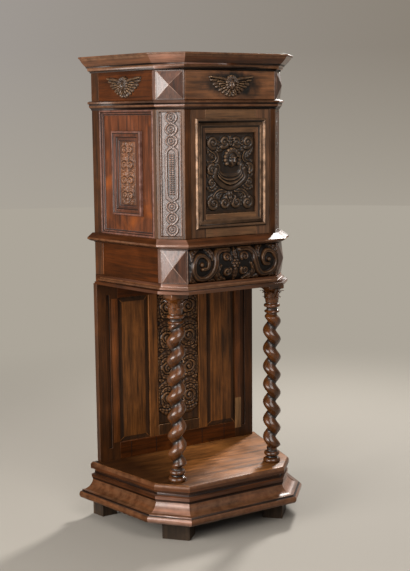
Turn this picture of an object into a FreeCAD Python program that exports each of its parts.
# Dresser cabinet with a canted front, in dark oak: a moulded plinth on block feet, an open stage with
# two twisted columns and a panelled back, a drawer, a cupboard with one door, a second drawer, a cornice.
# Millimetres, +Z up, the front faces -Y, the origin lies under the middle of the whole piece.
import FreeCAD
import Part
import math
import os

Vector = FreeCAD.Vector

# Plan of the case: a wide back, sides that close in towards the front, two cants and a narrow front.
case_back_width = 640
case_front_width = 359
cant_width = 65.5
cant_depth = 69.5
case_depth = 393
lower_step = 10.5
base_setback = 4

# Heights of the stages, from the floor up.
foot_height = 69
plinth_height = 91
shelf_thickness = 35
open_height = 653
lower_moulding_height = 32
lower_stage_height = 115
waist_height = 33
door_stage_height = 423
string_height = 31
upper_stage_height = 95
cornice_height = 48
top_board_thickness = 6

# Projections of the mouldings from the faces of the case.
plinth_out = 84
shelf_neck_out = 21
shelf_nosing_out = 38
nosing_thickness = 24
lower_moulding_out = 24
lower_moulding_cut = 28
waist_out = 28
waist_ledge_out = 8
string_out = 15
cornice_out = 42
top_board_out = 46

# Profiles from the bottom up: shares of projection and height, two for a straight, four for an arc.
plinth_shares = [(0.89, 0), (1, 0.15, 0.94, 0.27), (0.86, 0.28), (0.86, 0.33), (0.78, 0.33),
                 (0.47, 0.46, 0.35, 0.7), (0.38, 0.7), (0.38, 0.77), (0.41, 0.78), (0.41, 0.9),
                 (0.26, 0.92), (0.26, 1)]
nosing_shares = [(0.6, 0), (1, 0.06), (1, 0.45), (0.95, 0.8, 0.78, 1)]
lower_moulding_shares = [(1, 0), (1, 0.31), (0.36, 0.33), (0.46, 0.4), (0.46, 0.6),
                         (0.2, 0.62, 0.12, 0.74), (0.12, 1)]
waist_shares = [(0.1, 0), (0.1, 0.08), (0.45, 0.12, 0.92, 0.32), (1, 0.32), (1, 0.52)]
waist_slope_share = 0.52
string_shares = [(0.15, 0), (0.15, 0.14), (0.4, 0.2), (0.4, 0.26), (0.62, 0.34, 0.66, 0.5),
                 (0.66, 0.66), (1, 0.7), (1, 0.9), (0.5, 1)]
cornice_shares = [(0.1, 0), (0.1, 0.1), (0.3, 0.16), (0.3, 0.25), (0.36, 0.34, 0.43, 0.36),
                  (0.45, 0.46), (0.5, 0.47), (0.8, 0.75, 1, 1)]

# Timber sizes.
frame_depth = 30
back_post_width = 40
side_board = 20
corner_return = 16
front_return = 22
drawer_return = 3.5
corner_post_depth = 26
cant_block_depth = 58
deck_thickness = 20
back_board = 12
back_reveal = 2
plinth_rail = 24

# Block feet.
foot_out = 31
front_foot_width = 98
front_foot_depth = 70
back_foot_width = 70
back_foot_depth = 54

# Framed back of the open stage.
back_frame_overhang = 10
back_frame_thickness = 26
back_stile_width = 81
back_muntin_width = 35
back_centre_width = 176
back_top_rail_height = 58
back_bottom_rail_height = 62
back_panel_thickness = 12
back_panel_recess = 8
back_panel_tongue = 6
back_panel_bevel = 17
back_panel_rise = 5
centre_ledge = 40
stile_groove_width = 14
stile_groove_depth = 6
stile_groove_edge = 35
stile_groove_margin = 45

# Twisted columns.
column_outset = 17
column_inset = 44
shaft_radius = 23
shaft_throw = 9
shaft_pitch = 65
steps_per_turn = 8
shaft_sides = 16
turned_sides = 24
base_radius = 31
base_height = 48
neck_radius = 28
neck_height = 36
capital_radius = 37
capital_height = 72
abacus_width = 62
abacus_thickness = 20
left_phase = 256
right_phase = 29
base_shares = [(0.94, 0), (1, 0.12), (1, 0.36), (0.74, 0.54), (0.86, 0.68), (0.86, 0.86), (0.72, 1)]
neck_shares = [(0.78, 0), (0.92, 0.08), (0.92, 0.2), (0.78, 0.28), (0.78, 0.55), (1, 0.65), (1, 0.82), (0.8, 1)]
capital_shares = [(0.6, 0), (0.62, 0.45), (0.8, 0.74), (1, 1)]

# Pyramid bosses on the cants, and the sunk field of the pilasters on the corner posts.
boss_margin = 3
boss_base = 3
boss_rise = 13
pilaster_margin = 10
pilaster_sink = 3
pilaster_end = 8

# Drawers.
drawer_gap = 1
drawer_front = 22
drawer_bulge = 22
drawer_side = 12
drawer_bottom = 6
drawer_groove = 5
drawer_bottom_lift = 8
drawer_box_drop = 14
drawer_rest_gap = 0.3
drawer_back_gap = 12
guide_width = 14
guide_height = 24

# Winged head pulls.
wing_span = 164
wing_height = 46
wing_thickness = 6
head_width = 36
head_height = 44
head_out = 28
head_sides = 12
head_shares = [(1, 0), (1, 0.4), (0.85, 0.75), (0.4, 1)]
wing_shares = [(0, -0.7), (0.12, -0.66), (0.25, -0.6), (0.4, -0.48), (0.54, -0.34), (0.67, -0.22), (0.8, -0.05),
               (0.9, 0.14), (0.97, 0.34), (1, 0.56), (0.73, 0.52), (0.42, 0.46), (0.2, 0.3), (0, 0.25)]

# Side panels of the cupboard.
side_panel_thickness = 12
side_panel_recess = 9
side_edge_band = 18
side_edge_rise = 11
side_edge_shares = [(0, 0), (0, 0.85), (0.1, 1), (0.25, 1), (0.38, 0.85), (0.4, 0.6), (0.65, 0.5), (0.85, 0.2),
                    (1, 0.2)]
nested_half_width = 74
nested_half_height = 142
nested_band = 36
nested_rise = 13
nested_shares = [(0, 0), (0, 0.8), (0.05, 1), (0.17, 1), (0.22, 0.85), (0.5, 0.7), (0.58, 0.35),
                 (0.85, 0.3), (0.9, 0.15), (1, 0.1)]

# Door.
door_gap = 1.5
door_thickness = 24
door_stile_width = 56
door_rail_height = 76
door_tenon_length = 26
door_tenon_thickness = 8
door_panel_thickness = 12
door_panel_recess = 9
door_panel_tongue = 8
door_moulding_margin = 17
door_moulding_drop = 29
door_moulding_band = 47
door_moulding_rise = 8
door_moulding_shares = [(0, 0), (0, 0.4), (0.12, 1.05, 0.24, 0.4), (0.27, 0.15), (0.3, 0.5), (0.45, 0.5),
                        (0.6, 0.25, 0.7, -0.4), (0.93, -0.75), (1, -1.12)]
hinge_edge_radius = 2.5
pivot_edge = 7
pivot_inset = 5
pivot_radius = 2.5
pivot_in_door = 14
pivot_in_case = 12
pivot_clearance = 0.05

# Rim lock on the back of the left stile.
lock_inset = 3
lock_width = 42
lock_height = 60
lock_wall = 2
bolt_length = 30
bolt_height = 12
bolt_thickness = 4
bolt_throw = 11
bolt_clearance = 0.3
bolt_post_clearance = 0.6
keyhole_radius = 2.5
keyhole_width = 3
keyhole_drop = 8

overrun = 5

# Levels, from the floor up.
shelf_bottom = foot_height + plinth_height
shelf_top = shelf_bottom + shelf_thickness
open_top = shelf_top + open_height
lower_bottom = open_top + lower_moulding_height
lower_top = lower_bottom + lower_stage_height
door_stage_bottom = lower_top + waist_height
door_stage_top = door_stage_bottom + door_stage_height
upper_bottom = door_stage_top + string_height
upper_top = upper_bottom + upper_stage_height
cornice_top = upper_top + cornice_height
overall_height = cornice_top + top_board_thickness

# Widths, and depths with the base centred front to back.
half_front = case_front_width / 2
half_corner = half_front + cant_width
half_back_frame = case_back_width / 2 + back_frame_overhang
base_step = -base_setback
overall_depth = case_depth + base_step + plinth_out
back_y = overall_depth / 2
front_y = back_y - case_depth
lower_front_y = front_y - lower_step


def meet(point, along, other_point, other_along):
    gap = other_point - point
    cross = along.x * other_along.y - along.y * other_along.x
    reach = (gap.x * other_along.y - gap.y * other_along.x) / cross
    return point + along * reach


def edge_line(start, end, out):
    along = (end - start).normalize()
    outward = Vector(along.y, -along.x, 0)
    return start + outward * out, along


def plan(out=0, step=0):
    """Six corners of the case from above, left back to right back, moved outward and forward."""
    back = Vector(-case_back_width / 2, back_y, 0)
    corner = Vector(-half_corner, front_y + cant_depth, 0)
    front = Vector(-half_front, front_y, 0)
    forward = Vector(0, -step, 0)
    side = edge_line(back, corner, out)
    cant = edge_line(corner + forward, front + forward, out)
    face = (front + forward + Vector(0, -out, 0), Vector(1, 0, 0))
    rear = (back, Vector(1, 0, 0))
    left = [meet(*side, *rear), meet(*side, *cant), meet(*cant, *face)]
    return left + [Vector(-corner.x, corner.y, 0) for corner in reversed(left)]


def slab(corners, low, high):
    points = [Vector(corner.x, corner.y, low) for corner in corners]
    face = Part.Face(Part.makePolygon(points + points[:1]))
    return face.extrude(Vector(0, 0, high - low))


def block(x_range, y_range, z_range):
    sizes = [high - low for low, high in (x_range, y_range, z_range)]
    return Part.makeBox(*sizes, Vector(x_range[0], y_range[0], z_range[0]))


def mirrored(shape):
    return shape.mirror(Vector(0, 0, 0), Vector(1, 0, 0))


def section(shares, wide, tall, place, closing):
    """Face of an outline in shares of its width and height, closed through corners in real lengths."""
    first = place(shares[0][-2] * wide, shares[0][-1] * tall)
    here = first
    edges = []
    for share in shares[1:]:
        there = place(share[-2] * wide, share[-1] * tall)
        if len(share) == 4:
            middle = place(share[0] * wide, share[1] * tall)
            edges.append(Part.Arc(here, middle, there).toShape())
        else:
            edges.append(Part.LineSegment(here, there).toShape())
        here = there
    for corner in closing:
        there = place(*corner)
        edges.append(Part.LineSegment(here, there).toShape())
        here = there
    edges.append(Part.LineSegment(here, first).toShape())
    return Part.Face(Part.Wire(edges))


def mitred_lengths(shares, out, height, bottom, step=0, closed_height=None):
    """Five lengths of one moulding round the case, mitred at the corners and cut off at the back."""
    top = height if closed_height is None else closed_height
    case = plan(0, step)
    inner = plan(-frame_depth, step)
    outer = plan(out + overrun, step)
    lengths = []
    for index in range(len(case) - 1):
        start, end = case[index:index + 2]
        along = (end - start).normalize()
        outward = Vector(along.y, -along.x, 0)
        run_out = along * (out + frame_depth)
        origin = start - run_out + Vector(0, 0, bottom)
        place = lambda u, v: origin + outward * u + Vector(0, 0, v)
        face = section(shares, out, height, place, [(-frame_depth, top), (-frame_depth, 0)])
        bar = face.extrude(end - start + run_out * 2)
        wedge = slab([inner[index], outer[index], outer[index + 1], inner[index + 1]],
                     bottom - overrun, bottom + height + overrun)
        lengths.append(bar.common(wedge).Solids[0])
    return lengths


def on_face(shape, corner_index, distance, bottom, step=0):
    """Move a shape drawn on the front (x along, -y outward) to a face of the plan."""
    corners = plan(0, step)
    start, end = corners[corner_index], corners[corner_index + 1]
    along = (end - start).normalize()
    moved = shape.copy()
    moved.rotate(Vector(0, 0, 0), Vector(0, 0, 1), math.degrees(math.atan2(along.y, along.x)))
    moved.translate(start + along * distance + Vector(0, 0, bottom))
    return moved


def face_length(corner_index, step=0):
    corners = plan(0, step)
    return (corners[corner_index + 1] - corners[corner_index]).Length


def side_strip(start, end, thickness, low, high, out=0):
    """Upright board along the left side, from start to end measured from the back."""
    corners = plan(0)
    along = (corners[1] - corners[0]).normalize()
    outward = Vector(along.y, -along.x, 0)
    face = [corners[0] + along * distance + outward * out for distance in (start, end)]
    back = [point - outward * thickness for point in reversed(face)]
    return slab(face + back, low, high)


def mitred_frame(half_width, half_height, shares, band, rise):
    """Four mitred lengths round a rectangle, standing on y = 0 and rising towards -Y."""
    lengths = []
    for turn in range(4):
        reach, drop = (half_width, half_height) if turn % 2 == 0 else (half_height, half_width)
        place = lambda u, v: Vector(-reach, -v, -drop + u)
        face = section(shares, band, rise, place, [(band, 0)] if shares[-1][-1] > 0 else [])
        bar = face.extrude(Vector(reach * 2, 0, 0))
        corners = [(-reach, -drop), (reach, -drop), (reach - band, band - drop), (band - reach, band - drop)]
        points = [Vector(x, rise * 2, z) for x, z in corners]
        wedge = Part.Face(Part.makePolygon(points + points[:1])).extrude(Vector(0, -rise * 4, 0))
        length = bar.common(wedge).Solids[0]
        length.rotate(Vector(0, 0, 0), Vector(0, 1, 0), 90 * turn)
        lengths.append(length)
    return lengths


def rim(middle, radius, sides):
    turns = [math.tau * side / sides for side in range(sides)]
    return [middle + Vector(math.cos(turn), math.sin(turn), 0) * radius for turn in turns]


def turned(shares, radius, height, bottom, centre):
    """Turned member with many flat sides, which keeps its facets few."""
    return skinned([rim(centre + Vector(0, 0, bottom + level * height), girth * radius, turned_sides)
                    for girth, level in shares])


def skinned(rims):
    """Solid through parallel rims of equal point count, with flat faces from rim to rim."""
    faces = [Part.Face(Part.makePolygon(rim + rim[:1])) for rim in (rims[0], rims[-1])]
    for below, above in zip(rims, rims[1:]):
        for side in range(len(below)):
            corners = [below[side - 1], below[side], above[side], above[side - 1]]
            faces.append(Part.Face(Part.makePolygon(corners + corners[:1])))
    shell = Part.makeShell(faces)
    shell.sewShape()
    solid = Part.makeSolid(shell)
    return solid if solid.Volume > 0 else solid.reversed()


def pyramid(width, height, base, rise):
    """Low pyramid on a plinth, standing on y = 0 and rising towards -Y."""
    foot = block((-width / 2, width / 2), (-base, 0), (-height / 2, height / 2))
    points = [Vector(x, -base, z) for x, z in ((-width / 2, -height / 2), (width / 2, -height / 2),
                                               (width / 2, height / 2), (-width / 2, height / 2))]
    apex = Vector(0, -base - rise, 0)
    faces = [Part.Face(Part.makePolygon(points + points[:1]))]
    for near, far in zip(points, points[1:] + points[:1]):
        faces.append(Part.Face(Part.makePolygon([near, far, apex, near])))
    return foot.fuse(Part.makeSolid(Part.makeShell(faces))).removeSplitter()


def plinth():
    lengths = mitred_lengths(plinth_shares, plinth_out, plinth_height, foot_height, base_step)
    inner = plan(-frame_depth, base_step)
    rail = slab([inner[0], inner[0] - Vector(0, plinth_rail, 0), inner[5] - Vector(0, plinth_rail, 0), inner[5]],
                foot_height, shelf_bottom)
    for length in (lengths[0], lengths[4]):
        rail = rail.cut(length)
    return {"plinth_moulding": Part.makeCompound(lengths), "plinth_back_rail": rail.Solids[0]}


def feet():
    corners = plan(foot_out, base_step)
    along = (corners[1] - corners[2]).normalize()
    inward = Vector(-along.y, along.x, 0) * -1
    near = corners[2]
    far = near + along * front_foot_width
    front = slab([near, far, far + inward * front_foot_depth, near + inward * front_foot_depth], 0, foot_height)
    rear = corners[0]
    side = (corners[1] - rear).normalize() * back_foot_depth
    across = Vector(back_foot_width, 0, 0)
    back = slab([rear, rear + side, Vector(rear.x + across.x, rear.y + side.y, 0), rear + across], 0, foot_height)
    return {"foot_front_left": front, "foot_front_right": mirrored(front),
            "feet_back": Part.makeCompound([back, mirrored(back)])}


def shelf():
    board = slab(plan(shelf_neck_out, base_step), shelf_bottom, shelf_top)
    nosing_bottom = shelf_top - nosing_thickness
    for length in mitred_lengths(nosing_shares, shelf_nosing_out, nosing_thickness, nosing_bottom, base_step):
        board = board.fuse(length)
    return {"shelf_board": board.removeSplitter()}


def raised_panel(half_width, low, high, front):
    """Panel with a tongue all round, a flat margin and a bevelled field."""
    half_field = half_width - back_panel_bevel
    rear = front + back_panel_thickness
    tongue = block((-half_width - back_panel_tongue, half_width + back_panel_tongue), (front, rear),
                   (low - back_panel_tongue, high + back_panel_tongue))
    wires = []
    for half, inset, forward in ((half_width, 0, 0), (half_field, back_panel_bevel, back_panel_rise)):
        corners = [(-half, low + inset), (half, low + inset), (half, high - inset), (-half, high - inset)]
        points = [Vector(x, front - forward, z) for x, z in corners]
        wires.append(Part.makePolygon(points + points[:1]))
    return tongue.fuse(Part.makeLoft(wires, True, True)).removeSplitter()


def back_frame():
    """Stiles, muntins, rails and three panels behind the open stage."""
    half = half_back_frame
    half_centre = back_centre_width / 2
    depth = (back_y - back_frame_thickness, back_y)
    low = shelf_top + back_bottom_rail_height
    high = open_top - back_top_rail_height
    inner = half - back_stile_width
    muntin_outer = half_centre + back_muntin_width
    groove_outer = half - stile_groove_edge
    groove = block((-groove_outer, -groove_outer + stile_groove_width), (depth[0], depth[0] + stile_groove_depth),
                   (shelf_top + stile_groove_margin, open_top - stile_groove_margin))
    stile = block((-half, -inner), depth, (shelf_top, open_top)).cut(groove)
    top_rail = block((-inner, inner), depth, (high, open_top))
    bottom_rail = block((-inner, inner), depth, (shelf_top, low))
    muntin = block((-muntin_outer, -half_centre), depth, (low, high))
    panel_front = depth[0] + back_panel_recess
    side_half = (inner - muntin_outer) / 2
    side_panel = raised_panel(side_half, low, high, panel_front)
    side_panel.translate(Vector(-inner + side_half, 0, 0))
    centre = block((-half_centre - back_panel_tongue, half_centre + back_panel_tongue),
                   (panel_front, panel_front + back_panel_thickness),
                   (low - back_panel_tongue, high + back_panel_tongue))
    ledge = block((-half_centre, half_centre), (depth[0], panel_front), (low, low + centre_ledge))
    panels = {"back_panel_left": side_panel, "back_panel_right": mirrored(side_panel),
              "back_panel_centre": centre.fuse(ledge).removeSplitter()}
    frame = {"back_stile_left": stile, "back_stile_right": mirrored(stile), "back_top_rail": top_rail,
             "back_bottom_rail": bottom_rail, "back_muntins": Part.makeCompound([muntin, mirrored(muntin)])}
    for name, piece in frame.items():
        for panel in panels.values():
            piece = piece.cut(panel)
        frame[name] = piece
    return {**frame, **panels}


def twisted_shaft(centre, low, high, hand, phase):
    """Shaft whose many-sided section runs round the axis."""
    count = round((high - low) / shaft_pitch * steps_per_turn)
    rims = []
    for index in range(count + 1):
        level = low + (high - low) * index / count
        angle = math.radians(phase + hand * 360 * (level - low) / shaft_pitch)
        fade = min(1, index / 2, (count - index) / 2)
        middle = centre + Vector(math.cos(angle), math.sin(angle), 0) * shaft_throw * fade + Vector(0, 0, level)
        rims.append(rim(middle, shaft_radius, shaft_sides))
    return skinned(rims)


def column(side, hand, phase):
    centre = Vector(side * (half_front + column_outset), front_y + column_inset, 0)
    shaft_low = shelf_top + base_height
    shaft_high = open_top - capital_height - neck_height
    bell_height = capital_height - abacus_thickness
    abacus_low = open_top - abacus_thickness
    pieces = [twisted_shaft(centre, shaft_low, shaft_high, hand, phase),
              turned(base_shares, base_radius, base_height, shelf_top, centre),
              turned(neck_shares, neck_radius, neck_height, shaft_high, centre),
              turned(capital_shares, capital_radius, bell_height, shaft_high + neck_height, centre)]
    half = abacus_width / 2
    pieces.append(block((centre.x - half, centre.x + half), (centre.y - half, centre.y + half),
                        (abacus_low, open_top)))
    whole = pieces[0]
    for piece in pieces[1:]:
        whole = whole.fuse(piece)
    return whole


def columns():
    return {"column_left": column(-1, 1, left_phase), "column_right": column(1, -1, right_phase)}


def back_post():
    corners = plan(0)
    along = (corners[1] - corners[0]).normalize()
    inward = Vector(-along.y, along.x, 0)
    side_end = corners[0] + along * back_post_width
    return slab([corners[0], side_end, side_end + inward * frame_depth, plan(-frame_depth)[0]],
                lower_bottom, upper_top)


def block_rear(step):
    """Rearmost inner corner of a left corner timber."""
    case = plan(0, step)
    along = (case[1] - case[0]).normalize()
    return case[1] - along * corner_return + Vector(-along.y, along.x, 0) * frame_depth


def cant_block(low, high, inner_edge, depth, step):
    """Solid corner timber behind a cant, with short returns on the side and on the front."""
    case = plan(0, step)
    along = (case[1] - case[0]).normalize()
    side_end = case[1] - along * corner_return
    front_end = case[2] + Vector(inner_edge, 0, 0)
    corners = [side_end, case[1], case[2], front_end, front_end + Vector(0, depth, 0), block_rear(step)]
    return slab(corners, low, high)


def deck(low, high, step, rear):
    """Board lying inside the moulded frame of a stage."""
    board = slab(plan(-frame_depth, step), low, high)
    behind = block((-case_back_width, case_back_width), (rear, back_y + overrun), (low - overrun, high + overrun))
    return board.cut(behind)


def guides(low, step):
    """Two strips on a deck that keep a drawer straight."""
    inner = half_front - drawer_return
    front = block_rear(step).y
    rear = back_y - back_reveal - back_board
    strip = block((inner, inner + guide_width), (front, rear), (low, low + guide_height))
    return [strip, mirrored(strip)]


def bossed_block(low, high, step):
    width = face_length(1, step)
    timber = cant_block(low, high, drawer_return, cant_block_depth, step)
    boss = pyramid(width - boss_margin * 2, high - low - boss_margin * 2, boss_base, boss_rise)
    return timber.fuse(on_face(boss, 1, width / 2, (low + high) / 2, step)).removeSplitter()


def drawer(name, low, high, front, bulge):
    """Drawer with a lapped front, grooved sides, a back and a thin bottom."""
    half = half_front - drawer_return - drawer_gap
    bottom, top = low + drawer_gap, high - drawer_gap
    box_bottom, box_top = low + drawer_rest_gap, top - drawer_box_drop
    front_back = front + drawer_front
    rear = back_y - back_reveal - back_board - drawer_back_gap
    if bulge:
        edges = [Part.Arc(Vector(-half, front, bottom), Vector(-half, front - bulge, (bottom + top) / 2),
                          Vector(-half, front, top)).toShape()]
        corners = [Vector(-half, front, top), Vector(-half, front_back, top),
                   Vector(-half, front_back, bottom), Vector(-half, front, bottom)]
        edges += [Part.LineSegment(here, there).toShape() for here, there in zip(corners, corners[1:])]
        face_board = Part.Face(Part.Wire(edges)).extrude(Vector(half * 2, 0, 0))
    else:
        face_board = block((-half, half), (front, front_back), (bottom, top))
    side = block((-half, -half + drawer_side), (front_back, rear), (box_bottom, box_top))
    inner = half - drawer_side
    floor_low = box_bottom + drawer_bottom_lift
    floor_board = block((-inner - drawer_groove, inner + drawer_groove), (front_back - drawer_groove, rear),
                        (floor_low, floor_low + drawer_bottom))
    back = block((-inner, inner), (rear - drawer_side, rear), (floor_low + drawer_bottom, box_top))
    return {name + "_front": face_board.cut(floor_board),
            name + "_sides": Part.makeCompound([side.cut(floor_board), mirrored(side.cut(floor_board))]),
            name + "_back": back, name + "_bottom": floor_board}


def winged_head():
    """Head between two spread wings, standing on y = 0 and rising towards -Y."""
    half = wing_span / 2
    place = lambda u, v: Vector(u, 0, v)
    wing = section(wing_shares, half, wing_height, place, []).extrude(Vector(0, -wing_thickness, 0))
    turns = [math.tau * side / head_sides for side in range(head_sides)]
    rims = [[Vector(math.cos(turn) * girth * head_width / 2, -head_out * forward, math.sin(turn) * girth * head_height / 2)
             for turn in turns] for girth, forward in head_shares]
    return wing.fuse(mirrored(wing)).fuse(skinned(rims)).removeSplitter()


def lower_moulding():
    """Lengths of the lower moulding; the side ones are cut back to the case near the wall."""
    lengths = mitred_lengths(lower_moulding_shares, lower_moulding_out, lower_moulding_height, open_top, lower_step)
    near, far = plan(0, lower_step), plan(lower_moulding_out + overrun, lower_step)
    beside = slab([near[0], far[0], far[1], near[1]], open_top - overrun, lower_bottom + overrun)
    behind = block((-case_back_width, case_back_width), (back_y - lower_moulding_cut, back_y + overrun),
                   (open_top - overrun, lower_bottom + overrun))
    notch = beside.common(behind)
    return [lengths[0].cut(notch), *lengths[1:4], lengths[4].cut(mirrored(notch))]


def lower_stage():
    rail = lower_moulding()
    bottom = slab(plan(-frame_depth, lower_step), open_top, lower_bottom)
    for strip in guides(lower_bottom, lower_step):
        bottom = bottom.fuse(strip)
    length = face_length(0, lower_step)
    side = side_strip(back_post_width, length - corner_return, side_board, lower_bottom, lower_top)
    cant = bossed_block(lower_bottom, lower_top, lower_step)
    return {"lower_moulding": Part.makeCompound(rail), "case_bottom": bottom,
            "lower_side_left": side, "lower_side_right": mirrored(side),
            "lower_cant_left": cant, "lower_cant_right": mirrored(cant),
            **drawer("lower_drawer", lower_bottom, lower_top, lower_front_y, drawer_bulge)}


def pivot_pins():
    across = half_front - front_return - door_gap - pivot_edge
    centre = Vector(across, front_y + pivot_inset, 0)
    reach = pivot_in_door + pivot_in_case + door_gap
    low = Part.makeCylinder(pivot_radius, reach, centre + Vector(0, 0, door_stage_bottom - pivot_in_case))
    high = Part.makeCylinder(pivot_radius, reach, centre + Vector(0, 0, door_stage_top - door_gap - pivot_in_door))
    return centre, [low, high]


def pivot_hole(level_low, level_high):
    centre, pins = pivot_pins()
    return Part.makeCylinder(pivot_radius + pivot_clearance, level_high - level_low, centre + Vector(0, 0, level_low))


def waist():
    profile_height = waist_height * waist_slope_share
    slope_low = lower_top + profile_height
    lengths = mitred_lengths(waist_shares, waist_out, waist_height, lower_top, lower_step, profile_height)
    wires = []
    for corners, level in ((plan(waist_out, lower_step), slope_low), (plan(waist_ledge_out), door_stage_bottom)):
        points = [Vector(corner.x, corner.y, level) for corner in corners]
        wires.append(Part.makePolygon(points + points[:1]))
    slope = Part.makeLoft(wires, True, True).cut(slab(plan(-frame_depth, lower_step), lower_top, door_stage_bottom))
    inner = plan(-frame_depth, lower_step)
    outer = plan(waist_out + overrun, lower_step)
    whole = []
    for index, length in enumerate(lengths):
        wedge = slab([inner[index], outer[index], outer[index + 1], inner[index + 1]], lower_top, door_stage_bottom)
        whole.append(length.fuse(slope.common(wedge)).removeSplitter())
    return whole


def clear_of_posts(lengths, posts):
    for index in (0, 4):
        for post in posts:
            lengths[index] = lengths[index].cut(post)
    return lengths


def cupboard():
    post = back_post()
    posts = [post, mirrored(post)]
    rear = back_y - back_reveal - back_board
    waist_lengths = clear_of_posts(waist(), posts)
    waist_lengths[2] = waist_lengths[2].cut(pivot_hole(door_stage_bottom - pivot_in_case, door_stage_bottom))
    floor_board = deck(door_stage_bottom - deck_thickness, door_stage_bottom, lower_step, rear)
    behind = block((-case_back_width, case_back_width), (rear, rear + back_board), (lower_bottom, cornice_top))
    back = slab(plan(-frame_depth), lower_bottom, cornice_top).common(behind)
    corner = cant_block(door_stage_bottom, door_stage_top, front_return, corner_post_depth, 0)
    width = face_length(1)
    field = block((-width / 2 + pilaster_margin, width / 2 - pilaster_margin), (-overrun, pilaster_sink),
                  (pilaster_end, door_stage_height - pilaster_end))
    corner = corner.cut(on_face(field, 1, width / 2, door_stage_bottom))
    side_width = face_length(0) - corner_return - back_post_width
    panel = side_strip(back_post_width, back_post_width + side_width, side_panel_thickness,
                       door_stage_bottom, door_stage_top, -side_panel_recess)
    middle = back_post_width + side_width / 2
    frames = []
    for half_width, half_height, shares, band, rise in (
            (side_width / 2, door_stage_height / 2, side_edge_shares, side_edge_band, side_edge_rise),
            (nested_half_width, nested_half_height, nested_shares, nested_band, nested_rise)):
        for length in mitred_frame(half_width, half_height, shares, band, rise):
            length.translate(Vector(0, side_panel_recess, 0))
            frames.append(on_face(length, 0, middle, door_stage_bottom + door_stage_height / 2))
    moulding = Part.makeCompound(frames)
    return {"waist_moulding": Part.makeCompound(waist_lengths), "cupboard_floor": floor_board,
            "back_post_left": post, "back_post_right": posts[1], "case_back": back,
            "corner_post_left": corner, "corner_post_right": mirrored(corner),
            "side_panel_left": panel, "side_panel_right": mirrored(panel),
            "side_moulding_left": moulding, "side_moulding_right": mirrored(moulding)}


def rim_lock():
    """Lock case and bolt; when thrown, the bolt passes close behind the corner post."""
    post_front = Vector(front_return - half_front, front_y + corner_post_depth, 0)
    left = post_front.x + door_gap + lock_inset
    thrown = meet(post_front, block_rear(0) - post_front, Vector(left - bolt_throw, 0, 0), Vector(0, 1, 0))
    bolt_front = thrown.y + bolt_post_clearance
    bolt_rear = bolt_front + bolt_thickness
    middle = (door_stage_bottom + door_stage_top) / 2
    half_bolt = bolt_height / 2
    case = block((left, left + lock_width), (front_y + door_thickness, bolt_rear + lock_wall),
                 (middle - lock_height / 2, middle + lock_height / 2))
    bolt = block((left, left + bolt_length), (bolt_front, bolt_rear), (middle - half_bolt, middle + half_bolt))
    channel = block((left, left + bolt_length + bolt_clearance), (bolt_front - bolt_clearance, bolt_rear + bolt_clearance),
                    (middle - half_bolt - bolt_clearance, middle + half_bolt + bolt_clearance))
    return case.cut(channel), bolt


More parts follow.
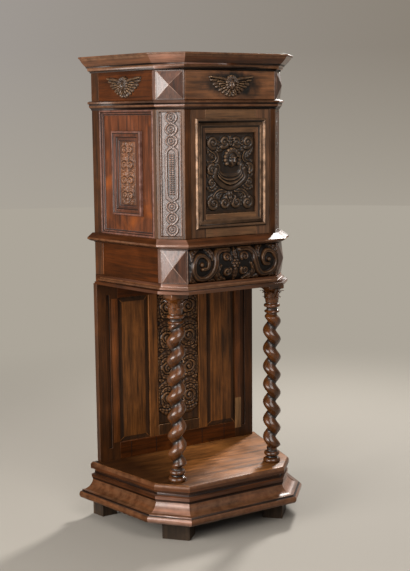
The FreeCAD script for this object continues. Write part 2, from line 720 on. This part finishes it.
def door():
    half = half_front - front_return - door_gap
    low, high = door_stage_bottom + door_gap, door_stage_top - door_gap
    depth = (front_y, front_y + door_thickness)
    inner = half - door_stile_width
    rail_top, rail_bottom = high - door_rail_height, low + door_rail_height
    panel_front = front_y + door_panel_recess
    panel = block((-inner - door_panel_tongue, inner + door_panel_tongue),
                  (panel_front, panel_front + door_panel_thickness),
                  (rail_bottom - door_panel_tongue, rail_top + door_panel_tongue))
    tenon_depth = (front_y + (door_thickness - door_tenon_thickness) / 2,
                   front_y + (door_thickness + door_tenon_thickness) / 2)
    rails = []
    for rail_low, rail_high in ((rail_top + door_panel_tongue, high), (low, rail_bottom - door_panel_tongue)):
        margin = (rail_high - rail_low) / 4
        tenon = block((-inner - door_tenon_length, inner + door_tenon_length), tenon_depth,
                      (rail_low + margin, rail_high - margin))
        rails.append(tenon)
    top_rail = block((-inner, inner), depth, (rail_top, high)).fuse(rails[0]).cut(panel).removeSplitter()
    bottom_rail = block((-inner, inner), depth, (low, rail_bottom)).fuse(rails[1]).cut(panel).removeSplitter()
    stile = block((inner, half), depth, (low, high))
    hinge_edges = [edge for edge in stile.Edges
                   if edge.CenterOfMass.x > half - hinge_edge_radius
                   and edge.CenterOfMass.y < front_y + hinge_edge_radius
                   and edge.BoundBox.ZLength > door_thickness]
    right = stile.makeFillet(hinge_edge_radius, hinge_edges)
    left = mirrored(stile)
    for piece in (panel, top_rail, bottom_rail):
        right = right.cut(piece)
        left = left.cut(piece)
    centre, pins = pivot_pins()
    for pin in pins:
        right = right.cut(pin)
    lock, bolt = rim_lock()
    middle = (low + high) / 2
    eye_x = -half + lock_inset + lock_width / 2
    eye = Part.makeCylinder(keyhole_radius, door_thickness, Vector(eye_x, front_y, middle), Vector(0, 1, 0))
    slot = block((eye_x - keyhole_width / 2, eye_x + keyhole_width / 2), depth, (middle - keyhole_drop, middle))
    left = left.cut(eye).cut(slot)
    frame = []
    half_height = (high - low) / 2 - door_moulding_drop
    for length in mitred_frame(half - door_moulding_margin, half_height, door_moulding_shares,
                               door_moulding_band, door_moulding_rise):
        length.translate(Vector(0, front_y, middle))
        for piece in (top_rail, bottom_rail, left, right, panel):
            length = length.cut(piece)
        frame.append(length.Solids[0])
    return {"door_stile_left": left, "door_stile_right": right, "door_top_rail": top_rail,
            "door_bottom_rail": bottom_rail, "door_panel": panel, "door_moulding": Part.makeCompound(frame),
            "door_pivots": Part.makeCompound(pins), "door_lock": lock, "lock_bolt": bolt}


def upper_stage():
    post = back_post()
    posts = [post, mirrored(post)]
    rear = back_y - back_reveal - back_board
    string = clear_of_posts(mitred_lengths(string_shares, string_out, string_height, door_stage_top), posts)
    string[2] = string[2].cut(pivot_hole(door_stage_top, door_stage_top + pivot_in_case))
    board = deck(upper_bottom - deck_thickness, upper_bottom, 0, rear)
    for strip in guides(upper_bottom, 0):
        board = board.fuse(strip)
    length = face_length(0)
    side = side_strip(back_post_width, length - corner_return, side_board, upper_bottom, upper_top)
    cant = bossed_block(upper_bottom, upper_top, 0)
    pull = winged_head()
    level = (upper_bottom + upper_top) / 2
    pull.translate(Vector(0, front_y, level))
    ornament = on_face(winged_head(), 0, (back_post_width + length - corner_return) / 2, level)
    return {"string_course": Part.makeCompound(string), "drawer_deck": board,
            "upper_side_left": side, "upper_side_right": mirrored(side),
            "upper_cant_left": cant, "upper_cant_right": mirrored(cant),
            "side_ornaments": Part.makeCompound([ornament, mirrored(ornament)]), "upper_drawer_pull": pull,
            **drawer("upper_drawer", upper_bottom, upper_top, front_y, 0)}


def cornice():
    lengths = mitred_lengths(cornice_shares, cornice_out, cornice_height, upper_top)
    return {"cornice_moulding": Part.makeCompound(lengths),
            "top_board": slab(plan(top_board_out), cornice_top, overall_height)}


os.makedirs("parts", exist_ok=True)
nodes = {}
for build in (feet, plinth, shelf, back_frame, columns, lower_stage, cupboard, door, upper_stage, cornice):
    nodes.update(build())
for name, shape in nodes.items():
    shape.exportStep(os.path.join("parts", name + ".step"))
    print(name, len(shape.Solids), "solids", round(shape.Volume / 1000), "cm3", "valid" if shape.isValid() else "BAD")
